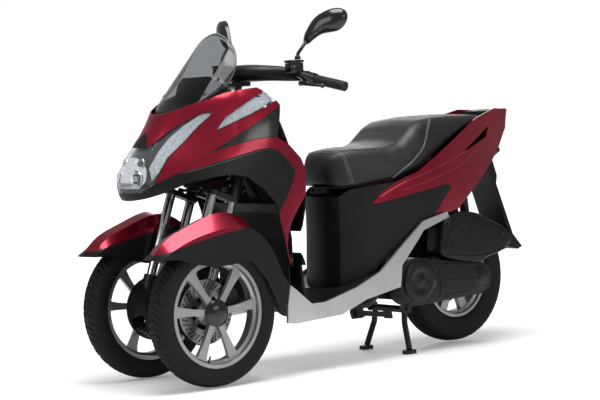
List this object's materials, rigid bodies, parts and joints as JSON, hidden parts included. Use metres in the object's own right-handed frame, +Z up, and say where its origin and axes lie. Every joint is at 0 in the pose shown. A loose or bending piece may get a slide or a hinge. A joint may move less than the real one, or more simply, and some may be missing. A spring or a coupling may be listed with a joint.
{
  "type": "reverse trike",
  "caption": "Leaning three-wheeled scooter: two steered front wheels on a tilting linkage, driven rear wheel, step-through floor, stepped seat over a storage bin, tinted screen.",
  "frame": {"origin": "on the ground under the middle of the overall length and width", "axes": "+X to the rider's left, -Y forward, +Z up"},
  "size_m": [0.7352, 1.9084, 1.2808],
  "materials": {
    "black_gloss": "smooth, half gloss",
    "black_plastic": "grained matt",
    "black_steel": "satin black",
    "case_metal": "cast, painted black",
    "chrome": "hard chromed",
    "clear_lens": "clear moulded lens",
    "disc_steel": "turned",
    "engine_metal": "cast, painted dark grey",
    "mirror": "silvered",
    "red_lens": "red moulded lens",
    "red_paint": "satin metallic red",
    "rubber": "ribbed",
    "seat_vinyl": "grained vinyl over foam",
    "silver_paint": "satin silver",
    "smoke_screen": "smoke tinted",
    "tyre": "moulded",
    "wheel_silver": "painted cast alloy"
  },
  "bodies": {
    "body": {"airbox": "black_plastic", "body_panels": "black_plastic", "cowl": "red_paint", "cowl_trim": "black_plastic", "cvt_case": "case_metal", "dash": "black_plastic", "engine": "engine_metal", "exhaust": "black_steel", "floorboard": "black_plastic", "frame": "black_steel", "grab_rail": "black_plastic", "headlamp": "clear_lens", "inner_fender": "black_plastic", "leg_shield_bands": "red_paint", "leg_shield_inner": "black_plastic", "rear_mudguard": "black_plastic", "rear_shocks": "black_steel", "side_tubes": "black_steel", "sills": "silver_paint", "stand_brackets": "black_steel", "storage_bin": "black_plastic", "swing_arm": "black_steel", "tail_lamp": "red_lens", "tail_panels": "red_paint", "tilt_arms": "black_steel", "turn_signals": "clear_lens", "vent_panels": "black_gloss", "windscreen": "smoke_screen"},
    "wheel_front_left": {"front_rim_left": "wheel_silver", "front_tyre_left": "tyre", "front_disc_left": "disc_steel", "hub_cap_left": "black_plastic"},
    "wheel_front_right": {"front_rim_right": "wheel_silver", "front_tyre_right": "tyre", "front_disc_right": "disc_steel", "hub_cap_right": "black_plastic"},
    "wheel_rear": {"rear_rim": "wheel_silver", "rear_tyre": "tyre", "rear_disc": "disc_steel"},
    "fork_left": {"fork_left": "black_steel", "fork_tubes_left": "chrome", "disc_cover_left": "black_plastic", "fender_left": "red_paint", "fender_skirt_left": "black_plastic"},
    "fork_right": {"fork_right": "black_steel", "fork_tubes_right": "chrome", "disc_cover_right": "black_plastic", "fender_right": "red_paint", "fender_skirt_right": "black_plastic"},
    "tie_rod": {"tie_rod": "black_steel"},
    "handlebar": {"handlebar": "black_steel", "grips": "rubber", "handlebar_cover": "black_plastic", "controls": "black_plastic", "mirrors": "black_plastic", "mirror_glass": "mirror"},
    "seat": {"seat": "seat_vinyl", "seat_pan": "black_plastic"},
    "centre_stand": {"centre_stand": "black_steel"},
    "side_stand": {"side_stand": "black_steel"}
  },
  "joints": [
    {"name": "steering", "type": "hinge", "parent": "body", "child": "handlebar", "pos_m": [0, -0.4743, 0.81382], "axis": [0, 0.342, 0.9397], "range_deg": [-34, 34]},
    {"name": "fork_turn_left", "type": "hinge", "parent": "body", "child": "fork_left", "pos_m": [0.118, -0.5256, 0.67286], "axis": [0, 0.342, 0.9397], "range_deg": [-34, 34]},
    {"name": "fork_turn_right", "type": "hinge", "parent": "body", "child": "fork_right", "pos_m": [-0.118, -0.5256, 0.67286], "axis": [0, 0.342, 0.9397], "range_deg": [-34, 34]},
    {"name": "tie_rod_swing", "type": "hinge", "parent": "handlebar", "child": "tie_rod", "pos_m": [0, -0.58558, 0.65425], "axis": [0, 0.342, 0.9397], "range_deg": [-34, 34]},
    {"name": "front_wheel_left_spin", "type": "hinge", "parent": "fork_left", "child": "wheel_front_left", "pos_m": [0.1925, -0.7025, 0.25], "axis": [1, 0, 0], "continuous": true},
    {"name": "front_wheel_right_spin", "type": "hinge", "parent": "fork_right", "child": "wheel_front_right", "pos_m": [-0.1925, -0.7025, 0.25], "axis": [1, 0, 0], "continuous": true},
    {"name": "rear_wheel_spin", "type": "hinge", "parent": "body", "child": "wheel_rear", "pos_m": [0, 0.6075, 0.2575], "axis": [1, 0, 0], "continuous": true},
    {"name": "seat_lid", "type": "hinge", "parent": "body", "child": "seat", "pos_m": [0, -0.0505, 0.62], "axis": [1, 0, 0], "range_deg": [0, 65]},
    {"name": "centre_stand_fold", "type": "hinge", "parent": "body", "child": "centre_stand", "pos_m": [0, 0.2825, 0.162], "axis": [1, 0, 0], "range_deg": [0, 75]},
    {"name": "side_stand_fold", "type": "hinge", "parent": "body", "child": "side_stand", "pos_m": [0.14, -0.0025, 0.178], "axis": [-0.936, 0, -0.352], "range_deg": [0, 92]}
  ],
  "couplings": [
    {"joint": "fork_turn_left", "follows": "steering", "ratio": 1},
    {"joint": "fork_turn_right", "follows": "steering", "ratio": 1},
    {"joint": "tie_rod_swing", "follows": "steering", "ratio": -1}
  ]
}
